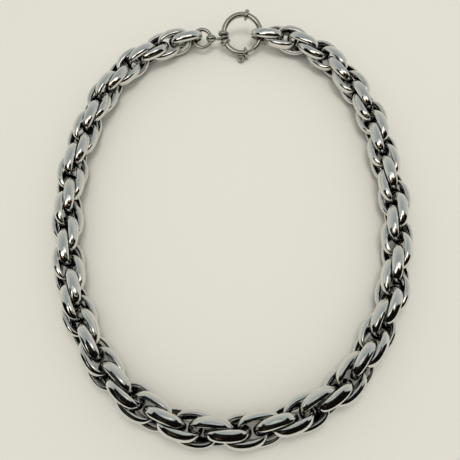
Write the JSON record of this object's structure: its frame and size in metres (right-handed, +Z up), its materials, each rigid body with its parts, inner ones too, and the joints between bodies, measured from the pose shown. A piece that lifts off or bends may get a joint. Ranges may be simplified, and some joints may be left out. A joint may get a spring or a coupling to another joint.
{
  "type": "rope chain necklace with a bolt ring clasp",
  "caption": "Single-strand double-link rope chain necklace of wide polished bands, lying in an open loop, closed by a spring bolt ring with a swivel eye and a jump ring.",
  "frame": {"origin": "middle of the necklace's outline, on the surface that it lies on", "axes": "+X across the loop to the right, +Y from the loop's front to its clasp, +Z up from the surface"},
  "size_m": [0.1348, 0.1752, 0.0124],
  "materials": {
    "chain_steel": "polished",
    "clasp_steel": "polished"
  },
  "bodies": {
    "necklace": {"chain_right": "chain_steel", "chain_left": "chain_steel", "clasp_ring": "clasp_steel", "swivel_eye": "clasp_steel", "jump_ring": "clasp_steel"},
    "bolt": {"clasp_bolt": "clasp_steel"}
  },
  "joints": [
    {"name": "bolt_slide", "type": "hinge", "parent": "necklace", "child": "bolt", "pos_m": [0.00484, 0.07834, 0.0063], "axis": [0, 0.4695, -0.8829], "range_deg": [0, 43], "stiffness_Nm_per_rad": 0.01, "springref_deg": -22.92}
  ]
}
